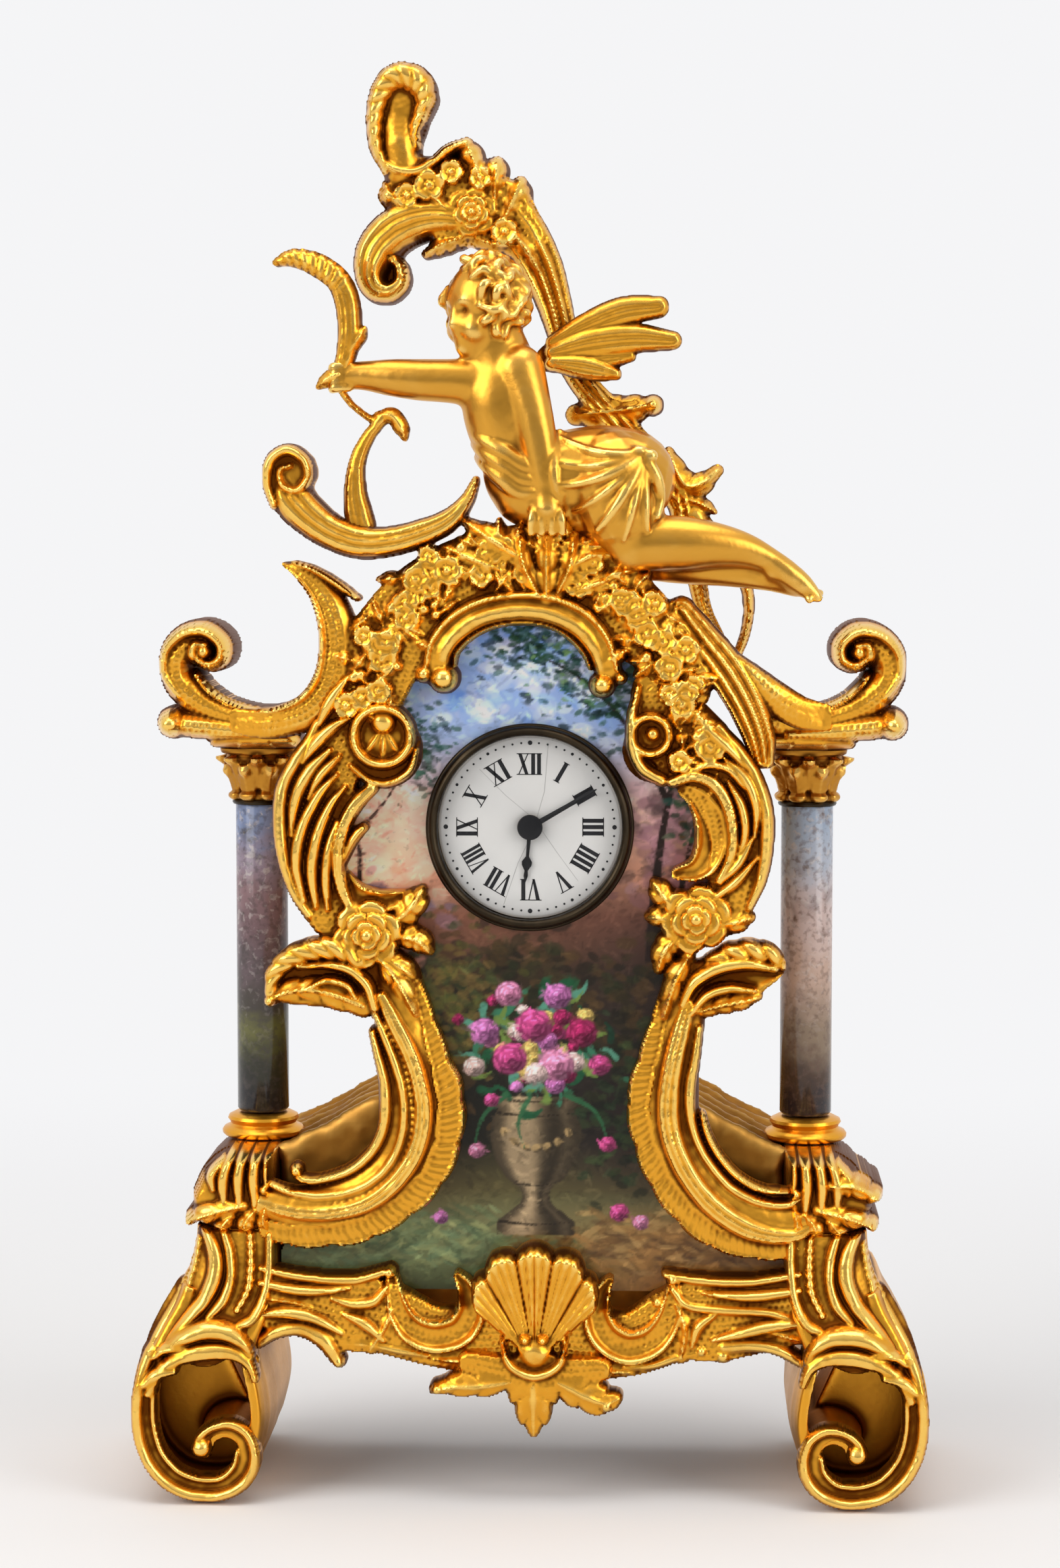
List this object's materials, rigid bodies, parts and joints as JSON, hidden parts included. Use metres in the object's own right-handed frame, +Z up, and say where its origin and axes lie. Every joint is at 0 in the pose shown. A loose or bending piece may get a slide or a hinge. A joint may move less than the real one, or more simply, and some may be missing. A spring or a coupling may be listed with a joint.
{
  "type": "table clock",
  "caption": "Rococo gilt table clock with an enamel plaque, enamel columns, scroll feet, a winged figure with a bow on the arch, and a wind-up drum movement with a round dial.",
  "frame": {"origin": "on the table, under the middle of the clock's overall box", "axes": "+Z up, dial facing -Y, +X to the viewer's right"},
  "size_m": [0.133, 0.044, 0.2389],
  "materials": {
    "gilt": "bright fire gilding, burnished ridges over stippled grounds",
    "figure_gilt": "satin gilding",
    "brass": "satin",
    "dark_bronze": "oxidised",
    "steel": "satin",
    "black_steel": "black",
    "plaque_enamel": "painted enamel, glossy",
    "column_enamel": "painted enamel, glossy",
    "dial_enamel": "white enamel, glossy",
    "glass": "clear"
  },
  "bodies": {
    "clock": {"left_foot": "gilt", "right_foot": "gilt", "left_shoulder": "gilt", "right_shoulder": "gilt", "left_column_foot": "gilt", "right_column_foot": "gilt", "left_column": "column_enamel", "right_column": "column_enamel", "left_capital": "gilt", "right_capital": "gilt", "left_tie_rod": "steel", "right_tie_rod": "steel", "left_arm": "gilt", "right_arm": "gilt", "base_casting": "gilt", "front_apron": "gilt", "shell_mount": "gilt", "left_frame": "gilt", "right_frame": "gilt", "arch_casting": "gilt", "crest": "gilt", "winged_figure": "figure_gilt", "wings": "figure_gilt", "bow": "gilt", "enamel_plaque": "plaque_enamel", "backing_plate": "brass", "bezel": "dark_bronze", "glass": "glass", "dial": "dial_enamel", "drum_case": "brass", "drum_cap": "brass", "clamp_ring": "brass", "pillar_plate": "brass", "back_plate": "brass", "hairspring": "steel", "balance_cock": "brass"},
    "minute_work": {"minute_hand": "black_steel", "cannon_pinion": "steel", "centre_arbor": "steel", "setting_knob": "brass"},
    "hour_work": {"hour_hand": "black_steel", "hour_wheel": "brass"},
    "minute_wheel_body": {"minute_wheel": "brass"},
    "centre_body": {"centre_wheel": "brass"},
    "barrel_body": {"mainspring_barrel": "brass"},
    "third_body": {"third_wheel": "brass"},
    "fourth_body": {"fourth_wheel": "brass"},
    "escape_body": {"escape_wheel": "brass"},
    "lever_body": {"pallet_lever": "steel"},
    "balance_body": {"balance_wheel": "brass"},
    "winding_body": {"barrel_arbor": "steel", "winding_key": "brass"},
    "click_body": {"click": "steel"}
  },
  "joints": [
    {"name": "minute_hand_turn", "type": "hinge", "parent": "clock", "child": "minute_work", "pos_m": [0, 0, 0.113], "axis": [0, 1, 0], "continuous": true},
    {"name": "hour_hand_turn", "type": "hinge", "parent": "clock", "child": "hour_work", "pos_m": [0, 0, 0.113], "axis": [0, 1, 0], "continuous": true},
    {"name": "minute_wheel_turn", "type": "hinge", "parent": "clock", "child": "minute_wheel_body", "pos_m": [-0.00083, 0, 0.11773], "axis": [0, 1, 0], "continuous": true},
    {"name": "centre_wheel_turn", "type": "hinge", "parent": "clock", "child": "centre_body", "pos_m": [0, 0, 0.113], "axis": [0, 1, 0], "continuous": true},
    {"name": "barrel_turn", "type": "hinge", "parent": "clock", "child": "barrel_body", "pos_m": [-0.00562, 0, 0.10738], "axis": [0, 1, 0], "continuous": true},
    {"name": "third_wheel_turn", "type": "hinge", "parent": "clock", "child": "third_body", "pos_m": [0.00337, 0, 0.11885], "axis": [0, 1, 0], "continuous": true},
    {"name": "fourth_wheel_turn", "type": "hinge", "parent": "clock", "child": "fourth_body", "pos_m": [0.00897, 0, 0.11681], "axis": [0, 1, 0], "continuous": true},
    {"name": "escape_wheel_turn", "type": "hinge", "parent": "clock", "child": "escape_body", "pos_m": [0.00808, 0, 0.11176], "axis": [0, 1, 0], "continuous": true},
    {"name": "lever_swing", "type": "hinge", "parent": "clock", "child": "lever_body", "pos_m": [0.00674, 0, 0.10809], "axis": [0, 1, 0], "range_deg": [-5, 5]},
    {"name": "balance_swing", "type": "hinge", "parent": "clock", "child": "balance_body", "pos_m": [0.00462, 0, 0.1047], "axis": [0, 1, 0], "range_deg": [-135, 135], "stiffness_Nm_per_rad": 0.0000002},
    {"name": "winding_key_turn", "type": "hinge", "parent": "clock", "child": "winding_body", "pos_m": [-0.00562, 0, 0.10738], "axis": [0, 1, 0], "continuous": true},
    {"name": "click_lift", "type": "hinge", "parent": "clock", "child": "click_body", "pos_m": [-0.00994, 0, 0.10581], "axis": [0, 1, 0], "range_deg": [0, 15]}
  ],
  "couplings": [
    {"joint": "hour_hand_turn", "follows": "minute_hand_turn", "ratio": 0.083333},
    {"joint": "minute_wheel_turn", "follows": "minute_hand_turn", "ratio": -0.33333},
    {"joint": "barrel_turn", "follows": "centre_wheel_turn", "ratio": -0.25},
    {"joint": "third_wheel_turn", "follows": "centre_wheel_turn", "ratio": -8},
    {"joint": "escape_wheel_turn", "follows": "fourth_wheel_turn", "ratio": -8}
  ]
}
